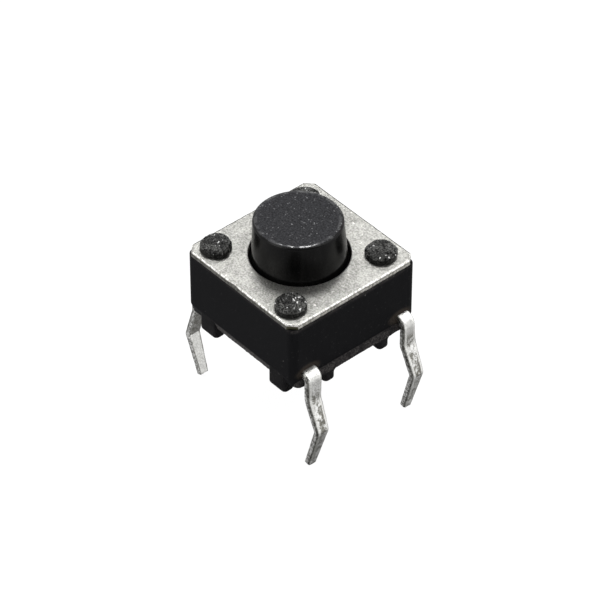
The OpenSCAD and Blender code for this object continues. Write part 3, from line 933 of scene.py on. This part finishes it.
def evened(line, step):
    """The same line with even steps: each column read at equal distances along it."""
    along = np.concatenate(([0], np.cumsum(np.linalg.norm(np.diff(line[:, :2], axis=0), axis=1))))
    at = np.linspace(0, along[-1], int(along[-1] / step) + 1)
    return np.column_stack([np.interp(at, along, column) for column in line.T])


def strip_section(rolled=0.11, sharp=0.03, steps=5):
    """Section of a sheared strip, as (across, out): its upper corners are rolled over and its
    lower ones sharper. The zone runs from 0 in the middle of the upper face to 0.8 at its
    edges, round the corners to 2 and down the sheared sides to 3. The lower face has -2, and
    1.3 at its edges."""
    half_w, half_t = STRIP_W / 2, STRIP_T / 2
    corners = ((1, 1, rolled, 0), (-1, 1, rolled, 90), (-1, -1, sharp, 180), (1, -1, sharp, 270))
    bends = [arc(side * (half_w - radius), up * (half_t - radius), radius, angle, angle + 90, steps)
             for side, up, radius, angle in corners]
    from_side = np.linspace(2, 0.8, steps + 1)
    share = np.linspace(1, -1, 11)[1:-1]
    over = np.column_stack((share * (half_w - rolled), np.full(len(share), half_t)))
    under = np.column_stack((-share * (half_w - sharp), np.full(len(share), -half_t)))
    section = np.concatenate((bends[0], over, bends[1], bends[2], under, bends[3]))
    to_lower = np.linspace(3, 1.3, steps + 1)
    zone = np.concatenate((from_side, 0.8 * np.abs(share), from_side[::-1],
                           to_lower, np.full(len(share), -2.0), to_lower[::-1]))
    return section, zone


def leg(side, row, seed, kink_drop, kink_out, tip_in, tip_z, bend_r=BEND_R, exit_w=BEND_W,
        lean_top=0.0, lean_tip=0.0):
    """Half of a strip with its leg: the section is carried along the leg's line, turned to the
    line's fall and narrowed towards the tip, and the tip is closed by a cut face. The leg leans
    sideways along its length and is a little uneven outside the wall."""
    line = leg_path(kink_drop, kink_out, tip_in, tip_z, bend_r)
    section, zone = strip_section()
    x, z, fall = line[:, :1], line[:, 1:2], np.radians(line[:, 2:])
    drop = -z[:, 0]
    drops, widths = (-0.7, FLARE_DROP, kink_drop, -tip_z), (exit_w, STRIP_W, KINK_W, TIP_W)
    width = np.interp(drop, drops, widths)[:, None] / STRIP_W
    lean = np.interp(drop, (-0.9, -tip_z), (lean_top, lean_tip))[:, None]
    closing, proud = np.array([0.96, 0.0])[:, None], np.array([0.006, 0.0])[:, None]
    across = np.concatenate((section[:, 0] * width, section[:, 0] * width[-1:] * closing))
    out = np.concatenate((np.broadcast_to(section[:, 1], (len(line), len(section))),
                          section[:, 1] * closing))
    x = np.concatenate((x, x[-1:] + proud * np.cos(fall[-1:])))
    z = np.concatenate((z, z[-1:] - proud * np.sin(fall[-1:])))
    lean = np.concatenate((lean, lean[-1:], lean[-1:]))
    fall = np.concatenate((fall, fall[-1:], fall[-1:]))
    points = np.stack((side * (x + out * np.sin(fall)), row * STRIP_Y + lean + across,
                       z + out * np.cos(fall)), -1)
    seen = np.clip((np.abs(points[..., :1]) - WALL_X) / 0.2, 0, 1)
    rough = np.stack([waves(points, 0.4, seed + number) for number in range(3)], -1)
    points = points + LEG_ROUGH * seen * rough
    # Inner faces above the kinks get zone -1, painted darker as shade; below them they keep -2, painted
    # white as light
    zones = np.where((zone == -2) & (z > -kink_drop), -1.0, zone)
    zones[-2:] = 2.0
    return grid(points, zones)


def block(low, high):
    """A box with rounded upright edges: a profile carried round a rounded rectangle."""
    low, high = np.array(low, float), np.array(high, float)
    half = (high - low) / 2
    outline, way = rounded_outline(half[0], half[1], 0.04, 2, 3)
    outline = outline + (low + half)[:2]
    middle = np.broadcast_to(outline.mean(0), outline.shape)
    side = carried(outline, way, np.array([(0, low[2]), (0, high[2])]), (0.0, 0.0))
    return [side, *(spread(outline, height, middle, (0, 1), 0.0) for height in (low[2], high[2]))]


def contact(x, y, radius):
    """A raised round contact: a turned disc with a round upper edge."""
    edge = arc(radius - 0.05, CONTACT_Z - 0.05, 0.05, 0, 90, 4)
    profile = chain((0, STRIP_TOP - STRIP_T), (radius, STRIP_TOP - STRIP_T), edge, (0, CONTACT_Z))
    return turned(profile, 32, 0.0, (x, y))


def terminals():
    """The two strips, each with two legs, its arms and its raised contacts."""
    tin = tinned_strip()
    plain = dict(kink_drop=1.38, kink_out=0.484, tip_in=0.14, tip_z=LEG_TIP_Z + 0.04)
    left = dict(plain, kink_drop=1.6, kink_out=0.46, tip_z=LEG_TIP_Z + 0.18, lean_top=0.08)
    right = dict(plain, bend_r=0.4, exit_w=0.58, lean_top=0.14, lean_tip=0.28)
    low, high = STRIP_TOP - STRIP_T, STRIP_TOP
    centre_arm = block((-ARM_W / 2, -STRIP_Y, low), (ARM_W / 2, 0, high))
    centre = [leg(-1, -1, 21, **left), leg(1, -1, 31, **plain), *centre_arm,
              contact(0, 0, CENTRE_CONTACT_R)]
    piece("centre_strip", centre, tin, "housing", "centre_terminal")
    rim = [leg(-1, 1, 41, **plain), leg(1, 1, 51, **right)]
    for side in (-1, 1):
        x = side * RIM_AT
        rim += block((x - ARM_W / 2, -RIM_AT, low), (x + ARM_W / 2, STRIP_Y, high))
        rim += [contact(x, y, RIM_CONTACT_R) for y in (-RIM_AT, RIM_AT)]
    piece("rim_strip", rim, tin, "housing", "rim_terminal")


base_piece()
heads_piece()
cover_piece()
button_piece()
dome_piece()
terminals()


# Stage, light and camera

AIM = Vector((-0.023, -0.027, 1.203)) * MM
CAMERA_AZIMUTH = 49.04
CAMERA_ELEVATION = 41.46
CAMERA_DISTANCE = 131.5
CAMERA_LENS = 212.2
# Brightness of the room as a light on matt surfaces, and of its front in reflections
ROOM_SOFT = 0.55
ROOM_FRONT = 0.2
# Half width of the floor in metres, and its glow to the camera and in flat reflections
FLOOR_REACH = 4.0
FLOOR_WHITE = 0.9
FLOOR_GLOW = 0.55


def aimed(name, data, azimuth, elevation, distance):
    """Places a lamp or the camera at an azimuth, an elevation and a distance in millimetres from
    the aim, and turns it to the aim."""
    made = new_object(name, data)
    a, e = math.radians(azimuth), math.radians(elevation)
    back = Vector((math.sin(a) * math.cos(e), -math.cos(a) * math.cos(e), math.sin(e)))
    made.location = AIM + back * distance * MM
    made.rotation_euler = (AIM - made.location).to_track_quat("-Z", "Y").to_euler()
    return made


def lamp(name, azimuth, elevation, distance, size, radiance):
    """A square soft lamp. Its power is set from the brightness of its face."""
    data = bpy.data.lights.new(name, "AREA")
    data.shape = "SQUARE"
    data.size = size * MM
    data.energy = radiance * math.pi * (size * MM) ** 2
    aimed(name, data, azimuth, elevation, distance)


def seen_rays(tree):
    """Two masks: one for rays from the camera, and one for rays from a gloss or through glass."""
    path = add(tree, "LightPath").outputs
    mirrored = plus(tree, path["Is Glossy Ray"], path["Is Transmission Ray"], clamp=True)
    return path["Is Camera Ray"], mirrored


def white_world():
    """White to the camera, softer as a light on matt surfaces, and in reflections a bright room
    that darkens towards the camera's side."""
    world = bpy.data.worlds.new("white_room")
    world.use_nodes = True
    scene.world = world
    tree = world.node_tree
    background = tree.nodes["Background"].inputs
    background["Color"].default_value = (1, 1, 1, 1)
    direct, mirrored = seen_rays(tree)
    way = add(tree, "TexCoord").outputs["Generated"]
    turn = math.radians(CAMERA_AZIMUTH)
    towards = vector_node(tree, "DOT_PRODUCT", 1, i0=way, i1=(math.sin(turn), -math.cos(turn), 0))
    room = times(tree, mirrored, band(tree, towards, 0.3, 0.7, 1.0, ROOM_FRONT))
    soft = times(tree, math_node(tree, "SUBTRACT", 1.0, mirrored), ROOM_SOFT)
    indirect = plus(tree, room, soft)
    tree.links.new(most(tree, indirect, direct), background["Strength"])


def white_floor():
    """A plain white floor under the leg tips that keeps a faint shadow. Its glow makes it white to
    the camera, and in reflections brighter the flatter they meet it."""
    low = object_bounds()[0].z
    mesh = bpy.data.meshes.new("floor")
    corners = ((-1, -1), (1, -1), (1, 1), (-1, 1))
    mesh.from_pydata([(x * FLOOR_REACH, y * FLOOR_REACH, low) for x, y in corners], [], [(0, 1, 2, 3)])
    material = bpy.data.materials.new("white_floor")
    material.use_nodes = True
    tree = material.node_tree
    shader = tree.nodes["Principled BSDF"]
    direct, mirrored = seen_rays(tree)
    flat = add(tree, "LayerWeight", Blend=0.5).outputs["Facing"]
    glow = times(tree, mirrored, band(tree, flat, 0.5, 0.85, 0.0, FLOOR_GLOW))
    join(tree, shader, Roughness=1.0, Specular_IOR_Level=0.0, Emission_Color=(1, 1, 1, 1),
         Base_Color=blend(tree, direct, (0.52, 0.52, 0.52, 1), (0.2, 0.2, 0.2, 1)),
         Emission_Strength=plus(tree, times(tree, direct, FLOOR_WHITE), glow))
    mesh.materials.append(material)
    made = new_object("floor", mesh)
    made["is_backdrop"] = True


white_world()
white_floor()
# Azimuth and elevation in degrees, distance and width in millimetres, brightness
lamp("back_soft", 229, 62, 200, 42, 18.0)
lamp("left_soft", -5, 35, 220, 120, 2.7)
lamp("right_soft", 136, 42, 200, 180, 1.0)

camera = bpy.data.cameras.new("camera")
camera.lens = CAMERA_LENS
camera.sensor_width = 36
camera.clip_start = 0.001
scene.camera = aimed("camera", camera, CAMERA_AZIMUTH, CAMERA_ELEVATION, CAMERA_DISTANCE)
scene.view_settings.view_transform = "Standard"
